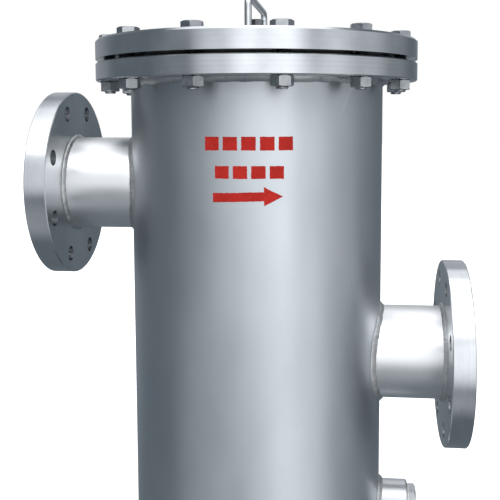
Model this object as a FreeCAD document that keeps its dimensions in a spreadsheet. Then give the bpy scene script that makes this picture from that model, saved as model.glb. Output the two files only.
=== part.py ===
"""Offset basket strainer: a welded vessel with a high inlet, a low outlet, a bolted cover and a basket.

Millimetres. The origin is the middle of the bottom plate's underside, +Z is up, and water flows along +X:
in through the high nozzle on the -X side, down into the basket, and out through the low nozzle on +X.
"""
import FreeCAD, Part
import os
import re

import Sketcher

os.makedirs("parts", exist_ok=True)
doc = FreeCAD.newDocument("BasketStrainer")

# ---------------------------------------------------------------------------------------------------------
# Driving dimensions
# ---------------------------------------------------------------------------------------------------------

SIZES = {
    # Vessel. Every "drop" is measured down from the top of the cover.
    "cover_top": 618,
    "shell_dia": 297,
    "shell_wall": 5,
    "bottom_thick": 16,
    "bottom_chamfer": 2.5,
    "weld_fit": 0.3,
    # Cover joint: cover, gasket, body flange, bolts and nuts.
    "cover_dia": 376,
    "cover_thick": 22,
    "cover_chamfer": 2.5,
    "flange_gap": 4,
    "body_flange_thick": 20.5,
    "flange_chamfer": 1.2,
    "gasket_step": 1,
    "gasket_outer": 324,
    "gasket_inner": 300,
    "shell_setback": 6,
    "bolt_count": 12,
    "bolt_circle": 344,
    "bolt_hole": 16,
    "bolt_dia": 14,
    "bolt_length": 60,
    "bolt_across": 21,
    "bolt_head": 7,
    "bolt_tip": 1.5,
    "nut_height": 11,
    "thread_fit": 0.1,
    # Nozzles and their flanges, nominal bore 100.
    "inlet_drop": 167,
    "outlet_drop": 369,
    "nozzle_dia": 110,
    "nozzle_wall": 5,
    "face_to_face": 500,
    "pipe_flange_dia": 220,
    "pipe_flange_thick": 25,
    "pipe_flange_chamfer": 1,
    "raised_face_dia": 158,
    "raised_face": 3,
    "pipe_setback": 6,
    "pipe_bolt_count": 8,
    "pipe_bolt_circle": 180,
    "pipe_bolt_hole": 18,
    # Drain, low on the outlet side.
    "drain_drop": 555,
    "drain_boss_dia": 46,
    "drain_reach": 183,
    "drain_boss_round": 3,
    "drain_thread": 26.6,
    "drain_across": 32,
    "drain_head": 8.5,
    "drain_shank": 16,
    "drain_turn": 40,
    # Vent, in the middle of the cover.
    "vent_boss_dia": 22,
    "vent_boss_height": 18,
    "vent_thread": 9.7,
    "vent_across": 14,
    "vent_head": 8,
    "vent_shank": 10,
    "vent_turn": 24,
    "vent_washer_width": 2.4,
    "washer_thick": 1.5,
    "drain_washer_width": 4.5,
    # Lifting handle: one bent round bar welded on the cover.
    "handle_bar": 8,
    "handle_span": 160,
    "handle_rise": 44.5,
    "handle_bend": 12,
    # Basket and the ring that it hangs on.
    "seat_drop": 245,
    "seat_thick": 8,
    "seat_inner": 228,
    "basket_gasket_thick": 2,
    "basket_gasket_inner": 230,
    "rim_dia": 250,
    "rim_inner": 206,
    "rim_thick": 4,
    "basket_dia": 220,
    "basket_wall": 1.5,
    "basket_depth": 270,
    "liner_gap": 0.3,
    "liner_wall": 0.6,
    "floor_thick": 2,
    "band_height": 18,
    "band_wall": 1.5,
    "strip_width": 14,
    "strip_wall": 1.2,
    # The basket's bail and its two lugs.
    "lug_thick": 3,
    "lug_width": 14,
    "lug_height": 6,
    "lug_centre": 107,
    "bail_bar": 6,
    "bail_radius": 115,
    "bail_bend": 6,
    "bail_pin": 7,
    "bail_clearance": 0.3,
}

sheet = doc.addObject("Spreadsheet::Sheet", "Sizes")
for row, (alias, value) in enumerate(SIZES.items(), start=1):
    sheet.set("A%d" % row, alias)
    sheet.set("B%d" % row, str(value))
    sheet.setAlias("B%d" % row, alias)
doc.recompute()


def formula(text):
    """Turn a formula in the sheet's words into an expression that any object can be bound to."""
    return re.sub(r"[a-z_]+\b(?!\()", lambda word: "Sizes." + word[0], text)


def number(text):
    """The present value of a formula in the sheet's words."""
    return float(sheet.evalExpression(formula(text)))


# Heights and reaches that several pieces share, as formulas in the sheet's words.
COVER_UNDERSIDE = "cover_top - cover_thick"
BODY_FLANGE_TOP = "cover_top - cover_thick - flange_gap"
SEAT_TOP = "cover_top - seat_drop"
RIM_UNDERSIDE = "cover_top - seat_drop + basket_gasket_thick"
RIM_TOP = "cover_top - seat_drop + basket_gasket_thick + rim_thick"
BASKET_BOTTOM = "cover_top - seat_drop + basket_gasket_thick - basket_depth"
PIVOT_HEIGHT = "cover_top - seat_drop + basket_gasket_thick + rim_thick + lug_height"
SHELL_INNER = "shell_dia - 2 * shell_wall"

X_AXIS = FreeCAD.Vector(1, 0, 0)
Y_AXIS = FreeCAD.Vector(0, 1, 0)
Z_AXIS = FreeCAD.Vector(0, 0, 1)

# Directions in which a piece made along its own +Z can be laid.
UP = FreeCAD.Rotation()
DOWN = FreeCAD.Rotation(X_AXIS, 180)
TOWARDS_OUTLET = FreeCAD.Rotation(Y_AXIS, 90)
TOWARDS_INLET = FreeCAD.Rotation(Y_AXIS, -90)
TOWARDS_FAR = FreeCAD.Rotation(X_AXIS, -90)
TOWARDS_NEAR = FreeCAD.Rotation(X_AXIS, 90)

# How far each screw and nut is turned from having a corner outwards, in degrees, as they came to rest when
# tightened, counted from the outlet round by the far side.
BOLT_TURNS = (8, 41, 22, 55, 12, 35, 50, 31, 26, 20, 14, 38)
NUT_TURNS = (17, 52, 5, 44, 29, 11, 33, 45, 27, 36, 14, 42)

pieces = []


# ---------------------------------------------------------------------------------------------------------
# Helpers
# ---------------------------------------------------------------------------------------------------------

def bind(target, **properties):
    """Bind properties of an object to formulas."""
    for name, text in properties.items():
        target.setExpression(name, formula(text))


def place(target, rotation=UP, x="0", y="0", z="0"):
    """Lay an object in a direction and bind its position to formulas."""
    target.Placement = FreeCAD.Placement(FreeCAD.Vector(), rotation)
    for axis, text in (("x", x), ("y", y), ("z", z)):
        target.setExpression("Placement.Base." + axis, formula(text))


def finish(target, label):
    """Name an object as one of the strainer's pieces."""
    target.Label = label
    pieces.append(target)
    return target


def new_body(label):
    return doc.addObject("PartDesign::Body", "Body_" + label)


def origin_plane(body, role):
    return next(feature for feature in body.Origin.OriginFeatures if feature.Role == role)


def new_sketch(body, name, role="XY_Plane", height=None):
    sketch = body.newObject("Sketcher::SketchObject", name)
    sketch.AttachmentSupport = [(origin_plane(body, role), "")]
    sketch.MapMode = "FlatFace"
    if height:
        sketch.setExpression("AttachmentOffset.Base.z", formula(height))
    return sketch


def add_circle(sketch, name, diameter, across=None, up=None):
    """Add a circle centred on the sketch's origin, or at a distance across or up from it."""
    centre = FreeCAD.Vector(number(across) if across else 0, number(up) if up else 0, 0)
    radius = number(diameter) / 2
    index = sketch.addGeometry(Part.Circle(centre, Z_AXIS, radius), False)
    sketch.renameConstraint(sketch.addConstraint(Sketcher.Constraint("Diameter", index, 2 * radius)), name)
    sketch.setExpression("Constraints." + name, formula(diameter))
    if not across and not up:
        sketch.addConstraint(Sketcher.Constraint("Coincident", index, 3, -1, 1))
    for kind, text, axis in (("DistanceX", across, -2), ("DistanceY", up, -1)):
        if text:
            distance = Sketcher.Constraint(kind, -1, 1, index, 3, number(text))
            sketch.renameConstraint(sketch.addConstraint(distance), name + "_" + kind)
            sketch.setExpression("Constraints.%s_%s" % (name, kind), formula(text))
        elif across or up:
            sketch.addConstraint(Sketcher.Constraint("PointOnObject", index, 3, axis))


def pad(body, sketch, name, length):
    feature = body.newObject("PartDesign::Pad", name)
    feature.Profile = sketch
    bind(feature, Length=length)
    doc.recompute()
    return feature


def pocket(body, sketch, name, backwards=False):
    """Cut a sketch right through; backwards cuts towards the side that the sketch plane faces."""
    before = body.Shape.Volume
    feature = body.newObject("PartDesign::Pocket", name)
    feature.Profile = sketch
    feature.Type = "ThroughAll"
    feature.Reversed = backwards
    doc.recompute()
    if body.Shape.Volume >= before:
        raise RuntimeError(name + " cuts nothing")
    return feature


def polar_pattern(body, feature, name, count):
    pattern = body.newObject("PartDesign::PolarPattern", name)
    pattern.Originals = [feature]
    pattern.Axis = (origin_plane(body, "Z_Axis"), [""])
    pattern.Angle = 360
    bind(pattern, Occurrences=count)
    body.Tip = pattern
    doc.recompute()


def dress_circles(body, kind, size, diameter, height):
    """Chamfer or fillet the circular edges of one diameter at one height in the body's own frame."""
    shape = body.Tip.Shape
    edges = []
    for index, edge in enumerate(shape.Edges, start=1):
        if not isinstance(edge.Curve, Part.Circle) or not edge.Closed:
            continue
        same_size = abs(2 * edge.Curve.Radius - number(diameter)) < 0.01
        if same_size and abs(edge.Curve.Center.z - number(height)) < 0.01:
            edges.append("Edge%d" % index)
    base = body.Tip
    feature = body.newObject("PartDesign::" + kind, kind)
    feature.Base = (base, edges)
    bind(feature, **{"Size" if kind == "Chamfer" else "Radius": size})
    doc.recompute()


def ring(label, outer, inner, height):
    """A body with one pad: a flat ring or a tube, from z = 0 up."""
    body = new_body(label)
    sketch = new_sketch(body, "Outline")
    add_circle(sketch, "outer", outer)
    if inner:
        add_circle(sketch, "inner", inner)
    pad(body, sketch, "Ring", height)
    return body


def primitive(kind, name, rotation=UP, x="0", y="0", z="0", **properties):
    """A Part primitive with its sizes and position bound to formulas."""
    target = doc.addObject("Part::" + kind, name)
    bind(target, **properties)
    place(target, rotation, x, y, z)
    return target


def cut(name, base, tool):
    result = doc.addObject("Part::Cut", name)
    result.Base = base
    result.Tool = tool
    return result


def common(name, base, tool):
    result = doc.addObject("Part::Common", name)
    result.Base = base
    result.Tool = tool
    return result


def fuse(name, shapes):
    result = doc.addObject("Part::MultiFuse", name)
    result.Shapes = shapes
    result.Refine = True
    return result


def hexagon(name, across, height, both_ends=False):
    """A hexagonal prism with its upper corners, or those at both ends, turned to a cone."""
    prism = doc.addObject("Part::Prism", name + "_prism")
    prism.Polygon = 6
    bind(prism, Circumradius="(%s) / (2 * cos(30))" % across, Height=height)
    top_radius = "(%s) * 0.475" % across
    cone = primitive("Cone", name + "_cone", Radius2=top_radius, Height=height,
                     Radius1=top_radius + " + (%s) * 1.8" % height)
    turned = common(name + "_hexagon", prism, cone)
    if not both_ends:
        return turned
    lower_cone = primitive("Cone", name + "_lower_cone", Radius1=top_radius, Height=height,
                           Radius2=top_radius + " + (%s) * 1.8" % height)
    return common(name + "_both_ends", turned, lower_cone)


def bend(name, radius, bar, angle, first, second, **position):
    """Part of a round bar's bend: it starts out from its centre along first and turns towards second."""
    turned = FreeCAD.Rotation(first, second, first.cross(second), "XYZ")
    torus = primitive("Torus", name, turned, Radius1=radius, Radius2=bar, **position)
    torus.Angle3 = angle
    return torus


def ring_of_copies(label, master, turns, radius, height, rotation):
    """Copies of one fastener in a circle, the first half a step from the X axis, each turned in its hole."""
    step = 360 / len(turns)
    copies = []
    for index, own_turn in enumerate(turns):
        angle = (index + 0.5) * step
        spot = FreeCAD.Rotation(Z_AXIS, angle).multVec(X_AXIS) * number(radius) + Z_AXIS * number(height)
        shape = master.Shape.copy()
        shape.Placement = FreeCAD.Placement(spot, FreeCAD.Rotation(Z_AXIS, angle + own_turn) * rotation)
        copies.append(shape)
    group = doc.addObject("Part::Feature", "Group_" + label)
    group.Shape = Part.makeCompound(copies)
    return finish(group, label)


# ---------------------------------------------------------------------------------------------------------
# Vessel
# ---------------------------------------------------------------------------------------------------------

def make_shell():
    """Rolled tube with holes for the two nozzles and the drain."""
    body = ring("shell", "shell_dia", SHELL_INNER,
                BODY_FLANGE_TOP + " - shell_setback - bottom_thick")
    place(body, z="bottom_thick")
    holes = (
        ("InletHole", "nozzle_dia + 2 * weld_fit", "cover_top - inlet_drop", False),
        ("OutletHole", "nozzle_dia + 2 * weld_fit", "cover_top - outlet_drop", True),
        ("DrainHole", "drain_thread", "cover_top - drain_drop", True),
    )
    for name, diameter, height, backwards in holes:
        sketch = new_sketch(body, name + "Sketch", "YZ_Plane")
        add_circle(sketch, "hole", diameter, up=height + " - bottom_thick")
        pocket(body, sketch, name, backwards)
    finish(body, "shell")


def make_bottom_plate():
    body = ring("bottom_plate", "shell_dia", None, "bottom_thick")
    dress_circles(body, "Chamfer", "bottom_chamfer", "shell_dia", "0")
    finish(body, "bottom_plate")


def drill_bolt_circle(body, name, hole, circle, count):
    """Holes on a circle, the first half a step from the body's own X axis."""
    sketch = new_sketch(body, name + "Sketch")
    half_step = "180 / %s" % count
    add_circle(sketch, "hole", hole, across="(%s) / 2 * cos(%s)" % (circle, half_step),
               up="(%s) / 2 * sin(%s)" % (circle, half_step))
    polar_pattern(body, pocket(body, sketch, name, backwards=True), name + "Pattern", count)


def make_body_flange():
    """Loose ring welded round the top of the shell, with a narrow raised step for the gasket."""
    bore = "shell_dia + 2 * weld_fit"
    body = ring("body_flange", "cover_dia", bore, "body_flange_thick")
    step = new_sketch(body, "GasketStepSketch", height="body_flange_thick")
    add_circle(step, "outer", "gasket_outer")
    add_circle(step, "inner", bore)
    pad(body, step, "GasketStep", "gasket_step")
    dress_circles(body, "Chamfer", "flange_chamfer", "cover_dia", "body_flange_thick")
    dress_circles(body, "Chamfer", "flange_chamfer", "cover_dia", "0")
    drill_bolt_circle(body, "BoltHoles", "bolt_hole", "bolt_circle", "bolt_count")
    place(body, z=BODY_FLANGE_TOP + " - body_flange_thick")
    finish(body, "body_flange")


def make_nozzle(side, rotation, sign, drop):
    """One nozzle: a short pipe fitted to the inside of the shell, and a plate flange round its end."""
    height = "cover_top - " + drop
    start = "shell_dia / 4"
    tube = ring(side + "_tube", "nozzle_dia", "nozzle_dia - 2 * nozzle_wall",
                "face_to_face / 2 - pipe_setback - shell_dia / 4")
    place(tube, rotation, x=sign + start, z=height)
    inside = primitive("Cylinder", side + "_shell_inside", Height="cover_top",
                       Radius="(%s) / 2" % SHELL_INNER)
    finish(cut(side + "_pipe_cut", tube, inside), side + "_pipe")

    bore = "nozzle_dia + 2 * weld_fit"
    flange = ring(side + "_flange", "pipe_flange_dia", bore, "pipe_flange_thick")
    face = new_sketch(flange, "RaisedFaceSketch", height="pipe_flange_thick")
    add_circle(face, "outer", "raised_face_dia")
    add_circle(face, "inner", bore)
    pad(flange, face, "RaisedFace", "raised_face")
    dress_circles(flange, "Chamfer", "pipe_flange_chamfer", "pipe_flange_dia", "pipe_flange_thick")
    dress_circles(flange, "Chamfer", "pipe_flange_chamfer", "pipe_flange_dia", "0")
    drill_bolt_circle(flange, "PipeBoltHoles", "pipe_bolt_hole", "pipe_bolt_circle", "pipe_bolt_count")
    back = "(face_to_face / 2 - raised_face - pipe_flange_thick)"
    place(flange, rotation, x=sign + back, z=height)
    finish(flange, side + "_flange")


def make_basket_seat():
    """Flat ring welded inside the shell between the two nozzles; it parts dirty water from clean."""
    body = ring("basket_seat", SHELL_INNER + " - 2 * weld_fit", "seat_inner", "seat_thick")
    place(body, z=SEAT_TOP + " - seat_thick")
    finish(body, "basket_seat")


# ---------------------------------------------------------------------------------------------------------
# Cover, with its handle, gasket, bolts and nuts
# ---------------------------------------------------------------------------------------------------------

def make_cover_plate():
    body = ring("cover_plate", "cover_dia", "vent_thread", "cover_thick")
    dress_circles(body, "Chamfer", "cover_chamfer", "cover_dia", "cover_thick")
    drill_bolt_circle(body, "BoltHoles", "bolt_hole", "bolt_circle", "bolt_count")
    place(body, z=COVER_UNDERSIDE)
    finish(body, "cover_plate")


def make_cover_gasket():
    body = ring("cover_gasket", "gasket_outer", "gasket_inner", "flange_gap - gasket_step")
    place(body, z=BODY_FLANGE_TOP + " + gasket_step")
    finish(body, "cover_gasket")


def make_lifting_handle():
    """A round bar bent to a square U, standing across the cover from -Y to +Y."""
    bar = "handle_bar / 2"
    bend_height = "cover_top + handle_rise - handle_bend"
    shapes = []
    for side, sign, outwards in (("near", "-", -Y_AXIS), ("far", "", Y_AXIS)):
        shapes.append(primitive("Cylinder", "handle_leg_" + side, y=sign + "handle_span / 2", z="cover_top",
                                Radius=bar, Height="handle_rise - handle_bend"))
        corner = (outwards, Z_AXIS) if outwards.y > 0 else (Z_AXIS, outwards)
        shapes.append(bend("handle_corner_" + side, "handle_bend", bar, 90, *corner,
                           y=sign + "(handle_span / 2 - handle_bend)", z=bend_height))
    shapes.append(primitive("Cylinder", "handle_top", TOWARDS_FAR, y="-(handle_span / 2 - handle_bend)",
                            z="cover_top + handle_rise", Radius=bar,
                            Height="handle_span - 2 * handle_bend"))
    finish(fuse("handle_fuse", shapes), "lifting_handle")


def make_cover_bolts():
    """Hexagon-head screws, heads on the cover and points down."""
    head = hexagon("bolt", "bolt_across", "bolt_head")
    shank = primitive("Cylinder", "bolt_shank", DOWN, Radius="bolt_dia / 2", Height="bolt_length - bolt_tip")
    tip = primitive("Cone", "bolt_point", DOWN, z="-(bolt_length - bolt_tip)", Radius1="bolt_dia / 2",
                    Radius2="bolt_dia / 2 - bolt_tip", Height="bolt_tip")
    bolt = fuse("bolt", [head, shank, tip])
    doc.recompute()
    ring_of_copies("cover_bolts", bolt, BOLT_TURNS, "bolt_circle / 2", "cover_top", UP)


def make_cover_nuts():
    """Nuts against the underside of the body flange, their corners rounded at both ends."""
    block = hexagon("nut", "bolt_across", "nut_height", both_ends=True)
    bore = primitive("Cylinder", "nut_bore", Radius="bolt_dia / 2 + thread_fit", Height="nut_height")
    nut = cut("nut", block, bore)
    doc.recompute()
    ring_of_copies("cover_nuts", nut, NUT_TURNS, "bolt_circle / 2",
                   BODY_FLANGE_TOP + " - body_flange_thick", DOWN)


# ---------------------------------------------------------------------------------------------------------
# Screw plugs: the drain and the vent
# ---------------------------------------------------------------------------------------------------------

def make_plug(name, rotation, turn, x, z, across, head, shank, thread):
    """A hexagon-head plug, made with the seat of its head at its own z = 0."""
    hexhead = hexagon(name, across, head)
    stem = primitive("Cylinder", name + "_stem", DOWN, Radius="%s / 2 - thread_fit" % thread, Height=shank)
    plug = fuse(name + "_fuse", [hexhead, stem])
    place(plug, rotation * FreeCAD.Rotation(Z_AXIS, number(turn)), x=x, z=z)
    finish(plug, name)


def make_drain():
    """A boss saddled on the shell, a sealing washer and a plug."""
    height = "cover_top - drain_drop"
    tube = ring("drain_tube", "drain_boss_dia", "drain_thread", "drain_reach - shell_dia / 4")
    dress_circles(tube, "Fillet", "drain_boss_round", "drain_boss_dia", "drain_reach - shell_dia / 4")
    place(tube, TOWARDS_OUTLET, x="shell_dia / 4", z=height)
    outside = primitive("Cylinder", "drain_shell_outside", Height="cover_top",
                        Radius="shell_dia / 2 + weld_fit")
    finish(cut("drain_boss_cut", tube, outside), "drain_boss")

    washer = ring("drain_washer", "drain_thread + 2 * drain_washer_width", "drain_thread", "washer_thick")
    place(washer, TOWARDS_OUTLET, x="drain_reach", z=height)
    finish(washer, "drain_washer")
    make_plug("drain_plug", TOWARDS_OUTLET, "drain_turn", "drain_reach + washer_thick", height,
              "drain_across", "drain_head", "drain_shank", "drain_thread")


def make_vent():
    """A boss welded on the cover over its middle hole, a sealing washer and a plug."""
    boss = ring("vent_boss", "vent_boss_dia", "vent_thread", "vent_boss_height")
    place(boss, z="cover_top")
    finish(boss, "vent_boss")

    washer = ring("vent_washer", "vent_thread + 2 * vent_washer_width", "vent_thread", "washer_thick")
    place(washer, z="cover_top + vent_boss_height")
    finish(washer, "vent_washer")
    make_plug("vent_plug", UP, "vent_turn", "0", "cover_top + vent_boss_height + washer_thick",
              "vent_across", "vent_head", "vent_shank", "vent_thread")


# ---------------------------------------------------------------------------------------------------------
# Basket
# ---------------------------------------------------------------------------------------------------------

def make_basket():
    """Rim, gasket, perforated screen with its lap strip, mesh liner, floor and bottom band."""
    screen_inner = "basket_dia - 2 * basket_wall"
    liner_outer = screen_inner + " - 2 * liner_gap"
    rings = (
        ("basket_gasket", "rim_dia - 2", "basket_gasket_inner", "basket_gasket_thick", SEAT_TOP),
        ("basket_rim", "rim_dia", "rim_inner", "rim_thick", RIM_UNDERSIDE),
        ("basket_screen", "basket_dia", screen_inner, "basket_depth", BASKET_BOTTOM),
        ("mesh_liner", liner_outer, liner_outer + " - 2 * liner_wall", "basket_depth - floor_thick",
         BASKET_BOTTOM + " + floor_thick"),
        ("basket_floor", liner_outer, None, "floor_thick", BASKET_BOTTOM),
        ("basket_bottom_band", "basket_dia + 2 * liner_gap + 2 * band_wall", "basket_dia + 2 * liner_gap",
         "band_height", BASKET_BOTTOM),
    )
    for label, outer, inner, height, level in rings:
        body = ring(label, outer, inner, height)
        place(body, z=level)
        finish(body, label)
    make_seam_strip()


def make_seam_strip():
    """The narrow strip that laps the screen's vertical seam, on the inlet side."""
    inner = "basket_dia + 2 * liner_gap"
    level = BASKET_BOTTOM + " + band_height"
    height = "basket_depth - band_height"
    skin = ring("seam_skin", inner + " + 2 * strip_wall", inner, height)
    place(skin, z=level)
    window = primitive("Box", "seam_window", x="-basket_dia", y="-strip_width / 2", z=level,
                       Length="basket_dia", Width="strip_width", Height=height)
    finish(common("seam_common", skin, window), "basket_seam_strip")


def make_bail_lugs():
    """Two upright ears on the rim, at -Y and +Y, with round tops and a hole for the bail's ends."""
    face = "lug_centre - lug_thick / 2"
    plate = primitive("Box", "lug_plate", x="-lug_width / 2", y=face, z=RIM_TOP,
                      Length="lug_width", Width="lug_thick", Height="lug_height")
    top = primitive("Cylinder", "lug_top", TOWARDS_FAR, y=face, z=PIVOT_HEIGHT,
                    Radius="lug_width / 2", Height="lug_thick")
    hole = primitive("Cylinder", "lug_hole", TOWARDS_FAR, y=face, z=PIVOT_HEIGHT,
                     Radius="bail_bar / 2 + thread_fit", Height="lug_thick")
    # The round top is as wide as the plate is high enough to hold, so it is kept above the rim.
    above_rim = primitive("Box", "lug_above_rim", x="-lug_width", y="0", z=RIM_TOP,
                          Length="2 * lug_width", Width="rim_dia", Height="4 * lug_height")
    lug = cut("lug", common("lug_kept", fuse("lug_fuse", [plate, top]), above_rim), hole)
    mirrored = doc.addObject("Part::Mirroring", "lug_mirrored")
    mirrored.Source = lug
    mirrored.Normal = Y_AXIS
    pair = doc.addObject("Part::Compound", "lug_pair")
    pair.Links = [lug, mirrored]
    finish(pair, "bail_lugs")


def make_bail():
    """A bar bent to a half circle, its ends turned inwards through the lugs; it lies on the rim."""
    bar = "bail_bar / 2"
    shapes = [bend("bail_arc", "bail_radius", bar, 180, -Y_AXIS, X_AXIS, x="bail_bend")]
    ends = (
        ("far", "", (Y_AXIS, -X_AXIS), TOWARDS_NEAR),
        ("near", "-", (-X_AXIS, -Y_AXIS), TOWARDS_FAR),
    )
    for side, sign, corner, inwards in ends:
        reach = sign + "(bail_radius - bail_bend)"
        shapes.append(bend("bail_corner_" + side, "bail_bend", bar, 90, *corner, x="bail_bend", y=reach))
        shapes.append(primitive("Cylinder", "bail_end_" + side, inwards, y=reach, Radius=bar,
                                Height="bail_pin"))
    bail = fuse("bail_fuse", shapes)
    # It leans down from the pivots until its far side all but touches the rim.
    lean = number("asin((lug_height - bail_bar / 2 - bail_clearance) / (bail_radius + bail_bend))")
    place(bail, FreeCAD.Rotation(Y_AXIS, lean), z=PIVOT_HEIGHT)
    finish(bail, "basket_bail")


# ---------------------------------------------------------------------------------------------------------
# The strainer
# ---------------------------------------------------------------------------------------------------------

make_shell()
make_bottom_plate()
make_body_flange()
make_nozzle("inlet", TOWARDS_INLET, "-", "inlet_drop")
make_nozzle("outlet", TOWARDS_OUTLET, "", "outlet_drop")
make_basket_seat()
make_cover_plate()
make_cover_gasket()
make_lifting_handle()
make_cover_bolts()
make_cover_nuts()
make_drain()
make_vent()
make_basket()
make_bail_lugs()
make_bail()
doc.recompute()

failed = [item.Name for item in doc.Objects if "Invalid" in item.State or "Error" in item.State]
if failed:
    raise RuntimeError("objects that did not recompute: " + ", ".join(failed))
for piece in pieces:
    if piece.Shape.isNull() or not piece.Shape.isValid():
        raise RuntimeError(piece.Label + " has no valid shape")
for piece in pieces:
    piece.Shape.exportStep("parts/%s.step" % piece.Label)
    box = piece.Shape.BoundBox
    print("%-20s solids %2d  volume %10.0f  x %7.1f %7.1f  y %7.1f %7.1f  z %7.1f %7.1f" % (
        piece.Label, len(piece.Shape.Solids), piece.Shape.Volume,
        box.XMin, box.XMax, box.YMin, box.YMax, box.ZMin, box.ZMax))
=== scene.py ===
"""Studio scene of an offset basket strainer: finishes, weld beads, threads, perforated sheet and paint marks.

Metres, in the CAD frame: the origin is the middle of the bottom plate's underside, +Z is up, and the
flow is along +X.
"""
import math
import random

import bmesh
import bpy
from mathutils import Matrix, Vector
from mathutils.geometry import delaunay_2d_cdt


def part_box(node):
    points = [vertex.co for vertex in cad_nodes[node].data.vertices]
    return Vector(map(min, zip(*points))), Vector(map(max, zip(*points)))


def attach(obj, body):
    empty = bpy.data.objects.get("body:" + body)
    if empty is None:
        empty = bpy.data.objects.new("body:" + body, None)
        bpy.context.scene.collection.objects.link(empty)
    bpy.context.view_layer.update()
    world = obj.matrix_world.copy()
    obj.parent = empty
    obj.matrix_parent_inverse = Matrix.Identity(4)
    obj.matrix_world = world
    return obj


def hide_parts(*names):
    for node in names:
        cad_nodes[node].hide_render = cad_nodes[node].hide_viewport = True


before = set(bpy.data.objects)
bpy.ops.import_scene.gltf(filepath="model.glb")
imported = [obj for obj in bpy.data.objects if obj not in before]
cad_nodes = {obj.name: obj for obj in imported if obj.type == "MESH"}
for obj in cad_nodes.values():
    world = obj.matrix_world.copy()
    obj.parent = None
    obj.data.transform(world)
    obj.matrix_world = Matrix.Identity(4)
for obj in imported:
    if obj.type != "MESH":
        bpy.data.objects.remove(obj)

MM = 0.001
TURN = 2 * math.pi
X, Y, Z = Vector((1, 0, 0)), Vector((0, 1, 0)), Vector((0, 0, 1))

scene = bpy.context.scene
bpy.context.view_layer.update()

# Places and sizes read from the CAD nodes.
SHELL_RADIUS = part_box("shell")[1].y
SHELL_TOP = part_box("shell")[1].z
SHELL_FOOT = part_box("shell")[0].z
COVER_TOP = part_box("cover_plate")[1].z
COVER_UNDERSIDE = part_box("cover_plate")[0].z
FLANGE_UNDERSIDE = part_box("body_flange")[0].z
LINER_RADIUS = 108 * MM


def middle(node):
    low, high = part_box(node)
    return (low + high) / 2


INLET_HEIGHT = middle("inlet_flange").z
OUTLET_HEIGHT = middle("outlet_flange").z
DRAIN_HEIGHT = middle("drain_boss").z
PIPE_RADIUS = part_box("inlet_pipe")[1].y


# ---------------------------------------------------------------------------------------------------------
# Materials
# ---------------------------------------------------------------------------------------------------------

class Finish:
    """A node material under construction, around one Principled shader."""

    def __init__(self, name, metallic=1.0, **sockets):
        self.data = bpy.data.materials.new(name)
        self.data.use_nodes = True
        self.nodes = self.data.node_tree.nodes
        self.links = self.data.node_tree.links
        self.shader = self.nodes["Principled BSDF"]
        self.shader.inputs["Metallic"].default_value = metallic
        for socket, value in sockets.items():
            self.shader.inputs[socket.replace("_", " ")].default_value = value
        self.place = self.add("ShaderNodeTexCoord").outputs["Object"]

    def add(self, kind, inputs=None, **settings):
        node = self.nodes.new(kind)
        for key, value in settings.items():
            setattr(node, key, value)
        for key, value in (inputs or {}).items():
            self.feed(node.inputs[key], value)
        return node

    def feed(self, socket, value):
        if isinstance(value, bpy.types.NodeSocket):
            self.links.new(value, socket)
        else:
            socket.default_value = value

    def noise(self, scale, detail=2.0, stretch=(1, 1, 1), where=None, roughness=0.5, distortion=0.0):
        """Cloudy noise, scale in lumps per metre; a large stretch squeezes the lumps along that axis."""
        spread = self.add("ShaderNodeVectorMath", {0: where or self.place, 1: stretch}, operation="MULTIPLY")
        return self.add("ShaderNodeTexNoise", {"Vector": spread.outputs[0], "Scale": scale, "Detail": detail,
                                               "Roughness": roughness, "Distortion": distortion}).outputs[0]

    def line_noise(self, along, scale, detail=2.0):
        """Noise that varies along one number only, so it makes lines across that direction."""
        return self.add("ShaderNodeTexNoise", {"W": along, "Scale": scale, "Detail": detail},
                        noise_dimensions="1D").outputs[0]

    def math(self, operation, first, second=0.0, third=0.0):
        return self.add("ShaderNodeMath", {0: first, 1: second, 2: third}, operation=operation).outputs[0]

    def remap(self, value, low, high, to_low=0.0, to_high=1.0, smooth=False):
        kind = "SMOOTHSTEP" if smooth else "LINEAR"
        return self.add("ShaderNodeMapRange", {0: value, 1: low, 2: high, 3: to_low, 4: to_high},
                        interpolation_type=kind).outputs[0]

    def blend(self, factor, first, second):
        """Mix two colours."""
        node = self.add("ShaderNodeMix", data_type="RGBA")
        self.feed(node.inputs[0], factor)
        for index, colour in ((6, first), (7, second)):
            linked = isinstance(colour, bpy.types.NodeSocket)
            self.feed(node.inputs[index], colour if linked else (*colour, 1))
        return node.outputs[2]

    def axis(self, name):
        """One coordinate of the place: X, Y or Z."""
        return self.add("ShaderNodeSeparateXYZ", {0: self.place}).outputs[name]

    def radius(self, axis, height=0.0):
        """Distance from the strainer's own axis, or from a line along X at a height."""
        if axis == "Z":
            squares = [self.math("MULTIPLY", self.axis(name), self.axis(name)) for name in "XY"]
        else:
            lift = self.math("SUBTRACT", self.axis("Z"), height)
            squares = [self.math("MULTIPLY", self.axis("Y"), self.axis("Y")),
                       self.math("MULTIPLY", lift, lift)]
        return self.math("SQRT", self.math("ADD", *squares))

    def bump(self, height, strength, depth, below=None):
        """Relief of a depth in metres, laid over the relief below it."""
        inputs = {"Height": height, "Strength": strength, "Distance": depth}
        if below is not None:
            inputs["Normal"] = below
        return self.add("ShaderNodeBump", inputs).outputs[0]

    def set(self, **sockets):
        for socket, value in sockets.items():
            self.feed(self.shader.inputs[socket.replace("_", " ")], value)
        return self.data


def scratches(finish, scale, width):
    """Long curved hairlines: where one noise crosses its middle, kept only where another is high."""
    field = finish.noise(scale, 1.0, where=finish.place)
    line = finish.math("ABSOLUTE", finish.math("SUBTRACT", field, 0.5))
    hair = finish.remap(line, 0.0, width, 1.0, 0.0)
    kept = finish.remap(finish.noise(scale * 1.7, 1.0, stretch=(1.3, 0.8, 1.1)), 0.56, 0.66)
    return finish.math("MULTIPLY", hair, kept)


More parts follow.
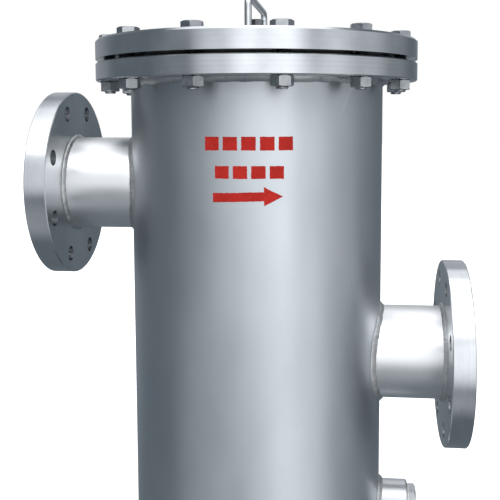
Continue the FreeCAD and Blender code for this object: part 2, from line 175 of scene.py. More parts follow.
def satin_stainless():
    """Satin sheet brushed round the vessel: cloudy, faintly wavy from rolling, with a few hairlines."""
    finish = Finish("satin_stainless", Anisotropic=0.65, Anisotropic_Rotation=0.25)
    tangent = finish.add("ShaderNodeTangent", direction_type="RADIAL", axis="Z").outputs[0]
    clouds = finish.noise(6.5, 4.0)
    wipes = finish.noise(30, 3.0, stretch=(1, 1, 0.35))
    tone = finish.math("ADD", finish.math("MULTIPLY", clouds, 0.6), finish.math("MULTIPLY", wipes, 0.4))
    colour = finish.blend(finish.remap(tone, 0.32, 0.68), (0.51, 0.543, 0.569), (0.58, 0.605, 0.623))
    hairs = scratches(finish, 5.5, 0.0022)
    colour = finish.blend(finish.math("MULTIPLY", hairs, 0.5), colour, (0.80, 0.81, 0.82))
    rough = finish.remap(finish.noise(22, 4.0, stretch=(1, 1, 0.5)), 0.3, 0.7, 0.38, 0.46)
    waves = finish.bump(finish.noise(7, 1.0), 0.22, 4 * MM)
    grain = finish.bump(finish.noise(1100, 2.0), 0.14, 0.10 * MM, waves)
    relief = finish.bump(hairs, 0.3, 0.08 * MM, grain)
    return finish.set(Base_Color=colour, Roughness=rough, Normal=relief, Tangent=tangent)


def turned_stainless(name, axis, height=0.0, dark=(0.50, 0.52, 0.54), light=(0.63, 0.645, 0.66),
                     roughness=(0.19, 0.27), line=0.07, groove=0.8):
    """Lathe-turned steel: stains, and fine grooves round the axis that spread reflections across them."""
    finish = Finish(name, Anisotropic=groove, Anisotropic_Rotation=0.25)
    tangent = finish.add("ShaderNodeTangent", direction_type="RADIAL", axis=axis).outputs[0]
    along = finish.math("ADD", finish.radius(axis, height), finish.axis(axis))
    fine = finish.line_noise(along, 2600, 1.0)
    coarse = finish.line_noise(along, 420, 3.0)
    stains = finish.noise(16, 5.0, roughness=0.6)
    tone = finish.math("ADD", finish.math("MULTIPLY", coarse, 0.15), finish.math("MULTIPLY", stains, 0.85))
    colour = finish.blend(finish.remap(tone, 0.34, 0.66), dark, light)
    rough = finish.remap(finish.math("ADD", finish.math("MULTIPLY", stains, 0.6),
                                     finish.math("MULTIPLY", fine, 0.4)), 0.3, 0.7, *roughness)
    relief = finish.bump(coarse, line, 0.10 * MM)
    relief = finish.bump(fine, line, 0.035 * MM, relief)
    relief = finish.bump(finish.noise(5, 1.0), 0.12, 2 * MM, relief)
    return finish.set(Base_Color=colour, Roughness=rough, Normal=relief, Tangent=tangent)


def plain_metal(name, dark, light, roughness, lumps=60, grain=900, depth=0.08, stretch=(1, 1, 1)):
    """Steel with stains at one scale and grain at another."""
    finish = Finish(name)
    stains = finish.noise(lumps, 4.0, stretch=stretch)
    colour = finish.blend(finish.remap(stains, 0.3, 0.7), dark, light)
    fine = finish.noise(grain, 2.0, stretch=stretch)
    rough = finish.remap(finish.noise(lumps * 1.9, 3.0, stretch=stretch), 0.3, 0.7, *roughness)
    relief = finish.bump(fine, 0.3, depth * MM)
    relief = finish.bump(stains, 0.2, 0.4 * MM, relief)
    return finish.set(Base_Color=colour, Roughness=rough, Normal=relief)


def bolt_steel():
    """Bolt steel, dull, with painted shade on the threads in the height between the flange faces, where the
    gap between them is dark; the threads are rougher there too.
    """
    finish = Finish("bolt_steel")
    stains = finish.noise(85, 4.0)
    colour = finish.blend(finish.remap(stains, 0.3, 0.7), (0.31, 0.325, 0.342), (0.45, 0.462, 0.476))
    # Painted shade: the threads between the flange faces are coloured near black, standing for the dark gap
    # there.
    below = finish.math("LESS_THAN", finish.axis("Z"), COVER_UNDERSIDE + 1 * MM)
    above = finish.math("GREATER_THAN", finish.axis("Z"), FLANGE_UNDERSIDE)
    gap_shade = finish.math("MULTIPLY", below, above)
    colour = finish.blend(gap_shade, colour, (0.045, 0.046, 0.05))
    rough = finish.remap(finish.math("ADD", finish.noise(160, 3.0), finish.math("MULTIPLY", gap_shade, 0.8)),
                         0.3, 1.5, 0.22, 0.62)
    relief = finish.bump(finish.noise(1000, 2.0), 0.3, 0.10 * MM)
    return finish.set(Base_Color=colour, Roughness=rough, Normal=relief)


def woven_wire():
    """Fine woven wire cloth: wires over and under each other, dark in the gaps."""
    finish = Finish("wire_mesh")
    pitch = 1.1 * MM
    angle = finish.math("ARCTAN2", finish.axis("Y"), finish.axis("X"))
    arc = finish.math("MULTIPLY", angle, LINER_RADIUS)
    waves = [finish.math("SINE", finish.math("MULTIPLY", run, math.pi / pitch))
             for run in (arc, finish.axis("Z"))]
    weave = finish.math("ABSOLUTE", finish.math("MULTIPLY", *waves))
    colour = finish.blend(finish.remap(weave, 0.05, 0.5), (0.05, 0.052, 0.056), (0.46, 0.47, 0.48))
    rough = finish.remap(finish.noise(90, 2.0), 0.3, 0.7, 0.34, 0.5)
    return finish.set(Base_Color=colour, Roughness=rough, Normal=finish.bump(weave, 0.7, 0.25 * MM))


def soft_seal(name, dark, light, roughness, fibre):
    """Gasket sheet or sealing plastic: speckled, slightly uneven."""
    finish = Finish(name, metallic=0.0)
    speckle = finish.noise(fibre, 3.0)
    colour = finish.blend(finish.remap(speckle, 0.35, 0.65), dark, light)
    rough = finish.remap(finish.noise(120, 2.0), 0.3, 0.7, *roughness)
    return finish.set(Base_Color=colour, Roughness=rough, Normal=finish.bump(speckle, 0.35, 0.15 * MM))


def weld_metal():
    """Cleaned weld: cool and warm grey patches, with soot left in places."""
    finish = Finish("weld_metal")
    tint = finish.noise(55, 2.0)
    colour = finish.blend(finish.remap(tint, 0.35, 0.65), (0.47, 0.485, 0.50), (0.60, 0.60, 0.59))
    soot = finish.remap(finish.noise(210, 3.0), 0.56, 0.72)
    colour = finish.blend(finish.math("MULTIPLY", soot, 0.6), colour, (0.26, 0.27, 0.29))
    rough = finish.remap(finish.noise(160, 3.0), 0.3, 0.7, 0.42, 0.56)
    relief = finish.bump(finish.noise(700, 3.0), 0.3, 0.12 * MM)
    return finish.set(Base_Color=colour, Roughness=rough, Normal=relief)


def stencil_paint():
    """Red stencil paint, thin in places and worn through in specks."""
    finish = Finish("stencil_paint", metallic=0.0, Specular_IOR_Level=0.12)
    thick = finish.noise(85, 4.0)
    colour = finish.blend(finish.remap(thick, 0.3, 0.7), (0.245, 0.008, 0.005), (0.335, 0.013, 0.008))
    worn = finish.remap(finish.noise(420, 4.0, roughness=0.65), 0.665, 0.73)
    colour = finish.blend(finish.math("MULTIPLY", worn, 0.75), colour, (0.42, 0.30, 0.29))
    rough = finish.remap(thick, 0.3, 0.7, 0.42, 0.6)
    return finish.set(Base_Color=colour, Roughness=rough, Metallic=finish.math("MULTIPLY", worn, 0.8),
                      Normal=finish.bump(finish.noise(600, 2.0), 0.25, 0.08 * MM))


SATIN = satin_stainless()
TURNED_UPRIGHT = turned_stainless("turned_upright", "Z")
TURNED_INLET = turned_stainless("turned_inlet", "X", INLET_HEIGHT)
TURNED_OUTLET = turned_stainless("turned_outlet", "X", OUTLET_HEIGHT)
# Brushed pipes, with weaker grooves and more roughness; their base colour is raised well above the other
# turned steel's as painted sheen, so that they come out bright where they face the lights above and in front.
PIPE_INLET = turned_stainless("brushed_painted_sheen_inlet", "X", INLET_HEIGHT, (0.76, 0.77, 0.78), (0.84, 0.845, 0.85),
                              (0.35, 0.43), 0.05, 0.3)
PIPE_OUTLET = turned_stainless("brushed_painted_sheen_outlet", "X", OUTLET_HEIGHT, (0.76, 0.77, 0.78), (0.84, 0.845, 0.85),
                               (0.35, 0.43), 0.05, 0.3)
BOSS = turned_stainless("turned_boss", "X", DRAIN_HEIGHT, (0.60, 0.61, 0.63), (0.71, 0.72, 0.73),
                        (0.42, 0.50), 0.05, 0.2)
FASTENER = plain_metal("fastener_steel", (0.31, 0.325, 0.342), (0.45, 0.462, 0.476), (0.22, 0.34),
                       85, 1000, 0.10)
BOLT = bolt_steel()
DARK_PLUG = plain_metal("dark_plug", (0.10, 0.104, 0.11), (0.17, 0.175, 0.182), (0.34, 0.46),
                        90, 1000, 0.10)
BAR = plain_metal("bright_bar", (0.55, 0.565, 0.58), (0.68, 0.69, 0.70), (0.20, 0.30),
                  70, 1300, 0.05, (1, 0.12, 1))
SHEET = plain_metal("basket_sheet", (0.52, 0.535, 0.55), (0.63, 0.64, 0.655), (0.26, 0.36),
                    24, 1500, 0.04)
PERFORATED = plain_metal("perforated_sheet", (0.50, 0.515, 0.53), (0.61, 0.62, 0.635), (0.27, 0.38),
                         18, 1400, 0.05)
WIRE = woven_wire()
GASKET = soft_seal("dark_gasket", (0.012, 0.012, 0.013), (0.045, 0.045, 0.047), (0.62, 0.82), 900)
SEAL = soft_seal("pale_seal", (0.58, 0.57, 0.54), (0.70, 0.69, 0.66), (0.42, 0.56), 300)
WELD = weld_metal()
PAINT = stencil_paint()

FINISHES = {
    "shell": SATIN, "bottom_plate": SATIN, "basket_seat": SATIN,
    "body_flange": TURNED_UPRIGHT, "cover_plate": TURNED_UPRIGHT, "vent_boss": TURNED_UPRIGHT,
    "inlet_flange": TURNED_INLET, "outlet_flange": TURNED_OUTLET,
    "inlet_pipe": PIPE_INLET, "outlet_pipe": PIPE_OUTLET, "drain_boss": BOSS,
    "lifting_handle": BAR, "basket_bail": BAR, "cover_nuts": FASTENER,
    "basket_rim": SHEET, "basket_bottom_band": SHEET, "basket_seam_strip": SHEET, "bail_lugs": SHEET,
    "mesh_liner": WIRE, "cover_gasket": GASKET, "basket_gasket": GASKET,
    "drain_washer": SEAL, "vent_washer": SEAL,
}
for node_name, finish_data in FINISHES.items():
    slots = cad_nodes[node_name].material_slots
    slots[0].link = "OBJECT"
    slots[0].material = finish_data


# ---------------------------------------------------------------------------------------------------------
# Mesh helpers
# ---------------------------------------------------------------------------------------------------------

def piece(name, vertices, faces, finish, body, material_slot, stands_for=(), sharp=35):
    """Make a mesh piece, smooth except at edges sharper than so many degrees, and let it ride on its body."""
    mesh = bpy.data.meshes.new(name)
    mesh.from_pydata([tuple(vertex) for vertex in vertices], [], faces)
    work = bmesh.new()
    work.from_mesh(mesh)
    bmesh.ops.recalc_face_normals(work, faces=work.faces)
    work.to_mesh(mesh)
    work.free()
    mesh.shade_smooth()
    mesh.set_sharp_from_angle(angle=math.radians(sharp))
    mesh.materials.append(finish)
    made = bpy.data.objects.new(name, mesh)
    scene.collection.objects.link(made)
    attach(made, body)
    if stands_for:
        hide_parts(*stands_for)
    return made


def slab(points, faces, skin, back):
    """A solid from one flat pattern: skin and back place its two sides, and walls close every free edge."""
    count = len(points)
    vertices = [skin(*point) for point in points] + [back(*point) for point in points]
    edges = {(face[i - 1], face[i]) for face in faces for i in range(len(face))}
    solid = [tuple(face) for face in faces]
    solid += [tuple(index + count for index in reversed(face)) for face in faces]
    solid += [(b, a, a + count, b + count) for a, b in edges if (b, a) not in edges]
    return vertices, solid


def fill_outline(outlines, inside, spacing, span):
    """Triangles between closed outlines, with inner points at a spacing over a span (low, high corner)."""
    points, edges = [], []
    for outline in outlines:
        start = len(points)
        points += [Vector(point) for point in outline]
        edges += [(start + i, start + (i + 1) % len(outline)) for i in range(len(outline))]
    (x0, y0), (x1, y1) = span
    across, up = int((x1 - x0) / spacing), int((y1 - y0) / spacing)
    for i in range(1, across):
        for j in range(1, up):
            spot = Vector((x0 + (x1 - x0) * i / across, y0 + (y1 - y0) * j / up))
            if inside(spot) and min((spot - point).length for point in points) > spacing * 0.45:
                points.append(spot)
    made, _, faces, _, _, _ = delaunay_2d_cdt(points, edges, [], 0, 1e-7)
    kept = [face for face in faces if inside(sum((made[i] for i in face), Vector((0, 0))) / len(face))]
    return made, kept


def around(angle, radius, height=0.0):
    """A point round the strainer's axis; the angle starts at +X."""
    return Vector((radius * math.cos(angle), radius * math.sin(angle), height))


# ---------------------------------------------------------------------------------------------------------
# Weld beads
# ---------------------------------------------------------------------------------------------------------

SINK = 0.35 * MM
SECTION_STEPS = 7


def ring_fillet(axis, centre, radius, outwards, forwards, leg):
    """A corner weld round an axis, between a face across the axis and a wall round it."""
    side = Y if axis is Z else Z
    other = axis.cross(side)

    def station(t, grow, grow_other):
        ray = side * math.cos(TURN * t) + other * math.sin(TURN * t)
        corner = centre + ray * radius
        on_face = corner + ray * (outwards * leg * grow) - axis * (forwards * SINK)
        on_wall = corner + axis * (forwards * leg * grow_other) - ray * (outwards * SINK)
        root = corner - axis * (forwards * SINK) - ray * (outwards * SINK)
        return on_face, on_wall, root, (ray * outwards + axis * forwards).normalized()

    return station, TURN * radius


def saddle_fillet(side, height, radius, leg):
    """A corner weld where a pipe or boss along X meets the round shell; side is -1 or 1."""
    def on_shell(t, reach, sink):
        y, z = reach * math.sin(TURN * t), reach * math.cos(TURN * t)
        depth = math.sqrt((SHELL_RADIUS - sink) ** 2 - y * y)
        return Vector((side * depth, y, height + z))

    def station(t, grow, grow_other):
        foot = on_shell(t, radius + leg * grow, SINK)
        corner = on_shell(t, radius, 0)
        ray = Y * math.sin(TURN * t) + Z * math.cos(TURN * t)
        on_pipe = corner + X * (side * leg * grow_other) - ray * SINK
        root = on_shell(t, radius - SINK, 2 * SINK)
        away = (foot - corner).normalized() + X * side
        return foot, on_pipe, root, away.normalized()

    return station, TURN * radius


def ring_crown(radius, height, width):
    """A flat-bottomed bead round the shell, over a butt joint."""
    def station(t, grow, grow_other):
        ray = around(TURN * t, 1)
        seat = ray * (radius - SINK) + Z * height
        return seat + Z * (width / 2 * grow), seat - Z * (width / 2 * grow_other), seat - ray * SINK, ray

    return station, TURN * radius


def upright_crown(angle, radius, low, high, width):
    """A flat-bottomed bead up the shell."""
    def station(t, grow, grow_other):
        ray, tangent = around(angle, 1), around(angle + TURN / 4, 1)
        seat = ray * (radius - SINK) + Z * (low + (high - low) * t)
        left, right = tangent * (width / 2 * grow), tangent * (width / 2 * grow_other)
        return seat + left, seat - right, seat - ray * SINK, ray

    return station, high - low


def weld(name, body, path, crown, ripple=3.0 * MM, closed=True, ripple_height=0.11, wander=0.08):
    """A bead along a path: wavering toes, a rounded crown and crescent ripples one after another."""
    station, length = path
    chance = random.Random(name)
    ripples = max(6, round(length / ripple))
    count = ripples * 5
    waves = [[(k, chance.uniform(0, TURN), chance.uniform(0.4, 1)) for k in
              (chance.randint(3, 6), chance.randint(8, 15), chance.randint(18, 34), chance.randint(40, 75))]
             for _ in range(3)]
    vertices = []
    for index in range(count if closed else count + 1):
        t = index / count
        sway = [sum(size * math.sin(TURN * k * t + phase) for k, phase, size in wave) / 2 for wave in waves]
        first, last, root, out = station(t, 1 + wander * sway[0], 1 + wander * sway[1])
        vertices.append(root)
        for step in range(SECTION_STEPS + 1):
            u = step / SECTION_STEPS
            arch = (4 * u * (1 - u)) ** 0.8
            phase = (ripples * t + 0.45 * (2 * u - 1) ** 2 + 0.12 * sway[2]) % 1
            crest = ripple_height * (1 - phase) * math.sin(math.pi * u)
            vertices.append(first.lerp(last, u) + out * (crown * (arch * (1 + 0.12 * sway[2]) + crest)))
    ring = SECTION_STEPS + 2
    rows = len(vertices) // ring
    faces = []
    for row in range(rows if closed else rows - 1):
        after = (row + 1) % rows
        for k in range(ring):
            after_k = (k + 1) % ring
            faces.append((row * ring + k, row * ring + after_k,
                          after * ring + after_k, after * ring + k))
    if not closed:
        faces += [tuple(range(ring)), tuple(range((rows - 1) * ring, rows * ring))]
    return piece(name, vertices, faces, WELD, body, "blasted_stainless", sharp=60)


def make_welds():
    weld("weld_shell_top_outside", "vessel",
         ring_fillet(Z, Z * FLANGE_UNDERSIDE, SHELL_RADIUS, 1, -1, 5.6 * MM), 0.9 * MM, 3.0 * MM, wander=0.10)
    weld("weld_shell_top_inside", "vessel",
         ring_fillet(Z, Z * SHELL_TOP, SHELL_RADIUS + 0.3 * MM, -1, 1, 4.6 * MM), 0.9 * MM)
    weld("weld_bottom", "vessel", ring_crown(SHELL_RADIUS, SHELL_FOOT, 9 * MM), 1.4 * MM, 3.2 * MM)
    weld("weld_shell_seam", "vessel",
         upright_crown(TURN / 4, SHELL_RADIUS, SHELL_FOOT + 5 * MM, FLANGE_UNDERSIDE - 7 * MM, 7 * MM),
         0.7 * MM, closed=False, wander=0.06)
    seat_low, seat_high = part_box("basket_seat")
    for name, height, forwards in (("top", seat_high.z, 1), ("underside", seat_low.z, -1)):
        weld("weld_seat_" + name, "vessel",
             ring_fillet(Z, Z * height, seat_high.y + 0.3 * MM, -1, forwards, 4.5 * MM), 0.8 * MM)
    for name, side, height in (("inlet", -1, INLET_HEIGHT), ("outlet", 1, OUTLET_HEIGHT)):
        flange_low, flange_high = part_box(name + "_flange")
        pipe_low, pipe_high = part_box(name + "_pipe")
        back = flange_high.x if side < 0 else flange_low.x
        end = pipe_low.x if side < 0 else pipe_high.x
        weld("weld_%s_shell" % name, "vessel", saddle_fillet(side, height, PIPE_RADIUS, 4.8 * MM), 0.45 * MM,
             3.0 * MM, wander=0.12)
        weld("weld_%s_flange_back" % name, "vessel",
             ring_fillet(X, Vector((back, 0, height)), PIPE_RADIUS, 1, -side, 3.8 * MM), 0.6 * MM)
        weld("weld_%s_flange_front" % name, "vessel",
             ring_fillet(X, Vector((end, 0, height)), PIPE_RADIUS + 0.3 * MM, -1, side, 4.4 * MM), 0.7 * MM)
    drain_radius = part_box("drain_boss")[1].y
    weld("weld_drain", "vessel", saddle_fillet(1, DRAIN_HEIGHT, drain_radius, 5 * MM), 1.0 * MM, 2.8 * MM)
    vent_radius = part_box("vent_boss")[1].x
    weld("weld_vent", "cover", ring_fillet(Z, Z * COVER_TOP, vent_radius, 1, 1, 4 * MM), 0.8 * MM, 2.6 * MM)
    bar_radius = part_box("lifting_handle")[1].x
    for name, y in (("near", -1), ("far", 1)):
        foot = Vector((0, y * (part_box("lifting_handle")[1].y - bar_radius), COVER_TOP))
        weld("weld_handle_" + name, "cover",
             ring_fillet(Z, foot, bar_radius, 1, 1, 3 * MM), 0.7 * MM, 2.2 * MM)


# ---------------------------------------------------------------------------------------------------------
# Screws and plugs
# ---------------------------------------------------------------------------------------------------------

def hexagon_head(across, height):
    """A hexagon head on z = 0, its upper corners turned to a cone; returns vertices and faces."""
    flat, top = across / 2, across * 0.475
    vertices, faces = [], []
    steps = 8
    for side in range(6):
        for step in range(steps):
            turn = math.radians(-30 + 60 * step / steps)
            reach = flat / math.cos(turn)
            angle = math.radians(60 * side + 30) + turn
            shoulder = height - (reach - top) / 1.8
            vertices += [around(angle, reach, 0), around(angle, reach, shoulder), around(angle, top, height),
                         around(angle, top * 0.86, height), around(angle, top * 0.82, height - 0.25 * MM)]
    count = 6 * steps
    for i in range(count):
        j = (i + 1) % count
        for k in range(4):
            faces.append((5 * i + k, 5 * j + k, 5 * j + k + 1, 5 * i + k + 1))
    faces.append(tuple(5 * i for i in range(count)))
    faces.append(tuple(5 * i + 4 for i in range(count)))
    return vertices, faces


def threaded_stem(radius, top, thread_top, bottom, pitch, depth, tip):
    """A stem along -z with a screw thread from thread_top down and a bevelled point."""
    sides, per_turn = 28, 6
    levels = [top, thread_top + pitch / 2]
    steps = int(round((thread_top - bottom) / pitch * per_turn))
    levels += [thread_top + (bottom - thread_top) * step / steps for step in range(steps + 1)]
    vertices = []
    for level in levels:
        for side in range(sides):
            wave = 0.5 - 0.5 * math.cos(TURN * (level / pitch + side / sides))
            fade = min(1.0, max(0.0, (thread_top - level) / pitch))
            reach = radius - depth * min(1.0, wave * 1.5) * fade
            bevel = radius - tip * max(0.0, 1 - (level - bottom) / tip)
            vertices.append(around(TURN * side / sides, min(reach, bevel), level))
    faces = [tuple(range(sides)), tuple(range(len(vertices) - sides, len(vertices)))]
    for row in range(len(levels) - 1):
        for side in range(sides):
            after = (side + 1) % sides
            low, high = row * sides, (row + 1) * sides
            faces.append((low + side, low + after, high + after, high + side))
    return vertices, faces


def join_parts(*parts):
    vertices, faces = [], []
    for part_vertices, part_faces in parts:
        start = len(vertices)
        vertices += part_vertices
        faces += [tuple(start + index for index in face) for face in part_faces]
    return vertices, faces


def placed(part, matrix):
    vertices, faces = part
    return [matrix @ vertex for vertex in vertices], faces


# How far each cover screw is turned from having a corner outwards, in degrees, from the outlet round.
BOLT_TURNS = (8, 41, 22, 55, 12, 35, 50, 31, 16, 20, 22, 38)
BOLT_CIRCLE_RADIUS = 172 * MM
BOLT_ACROSS = 21 * MM
BOLT_RADIUS = 7 * MM
BOLT_PLAIN = 9 * MM
BOLT_PITCH = 2 * MM
BOLT_THREAD_DEPTH = 1.1 * MM
BOLT_TIP = 1.5 * MM
STEM_OVERLAP = 1 * MM


def make_bolts():
    """Twelve screws on the cover, each turned as it came to rest when tightened."""
    low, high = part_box("cover_bolts")
    bolt = join_parts(hexagon_head(BOLT_ACROSS, high.z - COVER_TOP),
                      threaded_stem(BOLT_RADIUS, STEM_OVERLAP, -BOLT_PLAIN, low.z - COVER_TOP,
                                    BOLT_PITCH, BOLT_THREAD_DEPTH, BOLT_TIP))
    step = 360 / len(BOLT_TURNS)
    copies = []
    for index, own_turn in enumerate(BOLT_TURNS):
        angle = math.radians(step * (index + 0.5))
        spot = Matrix.Translation(around(angle, BOLT_CIRCLE_RADIUS, COVER_TOP))
        copies.append(placed(bolt, spot @ Matrix.Rotation(angle + math.radians(own_turn), 4, "Z")))
    piece("threaded_bolts", *join_parts(*copies), BOLT, "bolts", "fastener_steel", ("cover_bolts",), sharp=30)


MM_PER_INCH = 25.4
PLUG_PLAIN = 2.5 * MM


def make_plug(node, matrix, across, head, radius, shank, turns_per_inch, finish, body):
    """A hexagon-head plug with a pipe thread of so many turns to the inch."""
    pitch = MM_PER_INCH / turns_per_inch * MM
    plug = join_parts(hexagon_head(across, head),
                      threaded_stem(radius, STEM_OVERLAP, -PLUG_PLAIN, -shank,
                                    pitch, 0.62 * pitch, 0.7 * pitch))
    piece(node.replace("_plug", "_screw_plug"), *placed(plug, matrix), finish, body, "fastener_steel",
          (node,), sharp=30)


def make_plugs():
    """The drain plug points along +X and the vent plug up; each is seated on its washer."""
    drain_seat = Matrix.Translation((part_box("drain_washer")[1].x, 0, DRAIN_HEIGHT))
    sideways = Matrix.Rotation(math.radians(90), 4, "Y")
    drain_turn = Matrix.Rotation(math.radians(40), 4, "Z")
    make_plug("drain_plug", drain_seat @ sideways @ drain_turn, 32 * MM, 8.5 * MM, 13.2 * MM, 16 * MM, 14,
              FASTENER, "drain_screw")
    vent_seat = Matrix.Translation((0, 0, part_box("vent_washer")[1].z))
    vent_turn = Matrix.Rotation(math.radians(24), 4, "Z")
    make_plug("vent_plug", vent_seat @ vent_turn, 14 * MM, 8 * MM, 4.75 * MM, 10 * MM, 28,
              DARK_PLUG, "vent_screw")


# ---------------------------------------------------------------------------------------------------------
# Basket
# ---------------------------------------------------------------------------------------------------------

HOLE_RADIUS = 2.9 * MM
SCREEN_WALL = 1.5 * MM
SCREEN_COLUMNS = 76
SCREEN_BOTTOM_MARGIN = 22 * MM
SCREEN_TOP_MARGIN = 8 * MM
FLOOR_PITCH = 9 * MM
FLOOR_RINGS = 10


def make_screen():
    """The screen's perforated sheet: staggered round holes right round, plain margins at both ends."""
    low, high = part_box("basket_screen")
    outer, inner = high.x, high.x - SCREEN_WALL
    columns, hole = SCREEN_COLUMNS, HOLE_RADIUS
    pitch = TURN * outer / columns
    corner = pitch / math.sqrt(3)
    first, last = low.z + SCREEN_BOTTOM_MARGIN + corner, high.z - SCREEN_TOP_MARGIN - corner
    rows = int((last - first) / (corner * 1.5)) + 1
    rise = (last - first) / (rows - 1)
    points, index_of, faces = [], {}, []

    def point(arc, height):
        arc %= TURN * outer
        key = (round(arc * 1e6) % round(TURN * outer * 1e6), round(height * 1e6))
        if key not in index_of:
            index_of[key] = len(points)
            points.append((arc, height))
        return index_of[key]

    for row in range(rows):
        centre_height = first + rise * row
        for column in range(columns):
            centre = pitch * (column + 0.5 * (row % 2))
            ring, edge = [], []
            for step in range(12):
                angle = TURN * step / 12
                reach = pitch / 2 / math.cos(math.radians((step * 30 + 30) % 60 - 30))
                x, z = reach * math.cos(angle), reach * math.sin(angle)
                z *= rise / (corner * 1.5)
                if row == 0 and z < -1e-6:
                    z = -corner
                if row == rows - 1 and z > 1e-6:
                    z = corner
                edge.append(point(centre + x, centre_height + z))
                ring.append(point(centre + hole * math.cos(angle), centre_height + hole * math.sin(angle)))
            for k in range(12):
                faces.append((ring[k], edge[k], edge[(k + 1) % 12], ring[(k + 1) % 12]))
    for border, end in ((first - corner, low.z), (last + corner, high.z)):
        line = sorted((arc, index) for index, (arc, height) in enumerate(points)
                      if abs(height - border) < 1e-7)
        for k, (arc, index) in enumerate(line):
            next_arc, next_index = line[(k + 1) % len(line)]
            quad = (index, next_index, point(next_arc, end), point(arc, end))
            faces.append(quad if end > border else tuple(reversed(quad)))
    solid = slab(points, faces, lambda arc, height: around(arc / outer, outer, height),
                 lambda arc, height: around(arc / outer, inner, height))
    piece("perforated_screen", *solid, PERFORATED, "basket", "perforated_sheet", ("basket_screen",))


def make_floor_plate():
    """The basket's perforated floor: round holes in rings."""
    low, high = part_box("basket_floor")
    outer, hole, pitch = high.x, HOLE_RADIUS, FLOOR_PITCH
    holes = [Vector((0, 0))]
    for ring in range(1, FLOOR_RINGS + 1):
        count = 6 * ring
        holes += [around(TURN * k / count + 0.3 * ring, pitch * ring).to_2d() for k in range(count)]

    def circle(centre, radius, steps):
        return [centre + around(TURN * k / steps, radius).to_2d() for k in range(steps)]

    def inside(spot):
        return spot.length < outer and all((spot - centre).length > hole * 0.9 for centre in holes)

    outlines = [circle(Vector((0, 0)), outer, 96)] + [circle(centre, hole, 12) for centre in holes]
    points, faces = fill_outline(outlines, inside, outer, ((-outer, -outer), (outer, outer)))
    solid = slab(points, faces, lambda x, y: Vector((x, y, high.z)), lambda x, y: Vector((x, y, low.z)))
    piece("perforated_floor", *solid, PERFORATED, "basket", "basket_sheet", ("basket_floor",))


# ---------------------------------------------------------------------------------------------------------
# Paint marks on the shell
# ---------------------------------------------------------------------------------------------------------

def inside_polygon(spot, corners):
    hits = 0
    for (x0, y0), (x1, y1) in zip(corners, corners[1:] + corners[:1]):
        if (y0 > spot.y) != (y1 > spot.y) and spot.x < x0 + (spot.y - y0) / (y1 - y0) * (x1 - x0):
            hits += 1
    return hits % 2 == 1


def stencil(name, corners):
    """Paint on the shell with uneven edges: corners as (arc from the -Y side towards +X, height)."""
    chance = random.Random(name)
    outline = []
    for (x0, y0), (x1, y1) in zip(corners, corners[1:] + corners[:1]):
        steps = max(1, round(math.hypot(x1 - x0, y1 - y0) / (1.3 * MM)))
        for k in range(steps):
            wobble = 0.22 * MM
            outline.append((x0 + (x1 - x0) * k / steps + chance.uniform(-wobble, wobble),
                            y0 + (y1 - y0) * k / steps + chance.uniform(-wobble, wobble)))
    xs, ys = [x for x, _ in outline], [y for _, y in outline]
    points, faces = fill_outline([outline], lambda spot: inside_polygon(spot, outline), 3.5 * MM,
                                 ((min(xs), min(ys)), (max(xs), max(ys))))

    def on_shell(radius):
        return lambda arc, height: around(arc / SHELL_RADIUS - TURN / 4, radius, height)

    solid = slab(points, faces, on_shell(SHELL_RADIUS + 0.14 * MM), on_shell(SHELL_RADIUS - 0.2 * MM))
    piece(name, *solid, PAINT, "vessel", "blasted_stainless", sharp=30)


def make_marks():
    """The red flow arrow, under two rows of plain stencil dashes."""
    middle_height = 449.5 * MM
    tail, neck, tip = -29 * MM, 24.2 * MM, 43.8 * MM
    half_shaft, half_head, droop = 4.7 * MM, 9.8 * MM, 1.3 * MM
    stencil("flow_arrow", [(tail, middle_height - half_shaft - droop), (neck, middle_height - half_shaft),
                           (neck, middle_height - half_head), (tip, middle_height),
                           (neck, middle_height + half_head), (neck, middle_height + half_shaft),
                           (tail, middle_height + half_shaft - droop)])
    rows = ((503.7 * MM, -37.3 * MM, 54.4 * MM, 5, 14 * MM),
            (474.3 * MM, -26.6 * MM, 44.9 * MM, 4, 13 * MM))
    bridge = 4.2 * MM
    for row, (height, start, end, count, tall) in enumerate(rows):
        width = (end - start - bridge * (count - 1)) / count
        for k in range(count):
            left = start + k * (width + bridge)
            stencil("stencil_dash_%d_%d" % (row, k),
                    [(left, height - tall / 2), (left + width, height - tall / 2),
                     (left + width, height + tall / 2), (left, height + tall / 2)])


make_welds()
make_bolts()
make_plugs()
make_screen()
make_floor_plate()
make_marks()


# ---------------------------------------------------------------------------------------------------------
# Studio: floor, surroundings and camera
# ---------------------------------------------------------------------------------------------------------

def direction(azimuth, elevation):
    """Unit vector; azimuth 0 is towards -Y, 90 towards +X."""
    a, e = math.radians(azimuth), math.radians(elevation)
    return Vector((math.sin(a) * math.cos(e), -math.cos(a) * math.cos(e), math.sin(e)))


def make_floor():
    half, level = 14, -0.4 * MM
    mesh = bpy.data.meshes.new("floor")
    mesh.from_pydata([(-half, -half, level), (half, -half, level), (half, half, level), (-half, half, level)],
                     [], [(0, 1, 2, 3)])
    finish = Finish("pale_floor", metallic=0.0, Roughness=0.8, Emission_Strength=0.45)
    finish.shader.inputs["Emission Color"].default_value = (1, 1, 1, 1)
    finish.set(Base_Color=finish.blend(finish.noise(1.5, 2.0), (0.84, 0.845, 0.85), (0.88, 0.88, 0.88)))
    mesh.materials.append(finish.data)
    floor = bpy.data.objects.new("floor", mesh)
    scene.collection.objects.link(floor)
    floor.visible_glossy = False


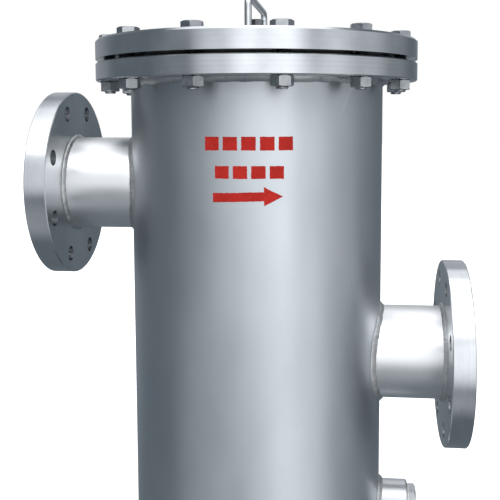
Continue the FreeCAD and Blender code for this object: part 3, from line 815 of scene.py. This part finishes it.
# Soft lights round the strainer: azimuth and elevation, the half-angles at which the glow is full and where
# it ends, all in degrees, and strength.
GLOWS = {
    "ceiling": (0, 75, 38, 42, 1.4),
    "ceiling_front": (0, 60, 30, 34, 0.5),
    "ceiling_back": (180, 62, 16, 24, 1.2),
    "window": (5, 45, 22, 30, 0.65),
    "window_lower_pane": (24, 22, 8, 16, 0.8),
    "front": (15, 0, 6, 32, 1.15),
    "front_left": (-15, 10, 6, 28, 0.85),
    "front_right": (48, 5, 6, 34, 0.55),
    "right_side": (78, 0, 6, 34, 0.4),
    "upper_left": (-50, 40, 6, 32, 0.7),
    "upper_right": (60, 50, 6, 32, 1.8),
    "floor_front": (24, -12, 10, 14, 0.15),
    "floor_left": (-45, -35, 6, 32, 0.3),
    "floor_right": (45, -35, 6, 32, 0.9),
    "back_wall": (180, 25, 8, 30, 0.4),
    "back_right": (105, 10, 8, 40, 0.15),
    "back_left": (-145, 8, 8, 38, 0.15),
}
AMBIENT = 0.20
SHADE_COLOUR = (0.81, 0.96, 1.085)


def make_surroundings():
    world = bpy.data.worlds.new("studio")
    scene.world = world
    world.use_nodes = True
    nodes, links = world.node_tree.nodes, world.node_tree.links
    nodes.clear()

    def add(kind, inputs, **settings):
        node = nodes.new(kind)
        for key, value in settings.items():
            setattr(node, key, value)
        for key, value in inputs.items():
            if isinstance(value, bpy.types.NodeSocket):
                links.new(value, node.inputs[key])
            else:
                node.inputs[key].default_value = value
        return node.outputs[0]

    ray = nodes.new("ShaderNodeTexCoord").outputs["Generated"]
    total = None
    for azimuth, elevation, core, rim, strength in GLOWS.values():
        facing = nodes.new("ShaderNodeVectorMath")
        facing.operation = "DOT_PRODUCT"
        links.new(ray, facing.inputs[0])
        facing.inputs[1].default_value = direction(azimuth, elevation)
        glow = add("ShaderNodeMapRange", {0: facing.outputs["Value"], 1: math.cos(math.radians(rim)),
                                          2: math.cos(math.radians(core)), 3: 0.0, 4: strength},
                   interpolation_type="SMOOTHSTEP")
        total = glow if total is None else add("ShaderNodeMath", {0: total, 1: glow}, operation="ADD")
    lit = add("ShaderNodeBackground", {"Color": (1, 1, 1.02, 1), "Strength": total})
    shade = add("ShaderNodeBackground", {"Color": (*SHADE_COLOUR, 1), "Strength": AMBIENT})
    room = add("ShaderNodeAddShader", {0: lit, 1: shade})
    backdrop = add("ShaderNodeBackground", {"Color": (1, 1, 1, 1), "Strength": 1.0})
    seen = nodes.new("ShaderNodeLightPath").outputs["Is Camera Ray"]
    both = add("ShaderNodeMixShader", {0: seen, 1: room, 2: backdrop})
    links.new(both, nodes.new("ShaderNodeOutputWorld").inputs["Surface"])


EYE_POINT = (0.1133, -0.9480, 0.5313)
YAW, PITCH, ROLL = math.radians(5.83), math.radians(5.29), math.radians(0.14)
SENSOR_WIDTH, FOCAL_LENGTH = 36, 57.14
LENS_SHIFT = (-0.0423, -0.1204)


def make_camera():
    """A camera in front, below the cover's top and to the right of the middle, looking left and down."""
    data = bpy.data.cameras.new("camera")
    data.sensor_width = SENSOR_WIDTH
    data.lens = FOCAL_LENGTH
    data.shift_x, data.shift_y = LENS_SHIFT
    data.clip_end = 100
    camera = bpy.data.objects.new("camera", data)
    scene.collection.objects.link(camera)
    forward = Vector((-math.sin(YAW) * math.cos(PITCH), math.cos(YAW) * math.cos(PITCH), -math.sin(PITCH)))
    right = forward.cross(Z).normalized()
    up = right.cross(forward)
    tilted_right = right * math.cos(ROLL) - up * math.sin(ROLL)
    tilted_up = up * math.cos(ROLL) + right * math.sin(ROLL)
    camera.matrix_world = Matrix((tilted_right, tilted_up, -forward)).transposed().to_4x4()
    camera.location = EYE_POINT
    scene.camera = camera


make_floor()
make_surroundings()
make_camera()
scene.view_settings.view_transform = "Standard"
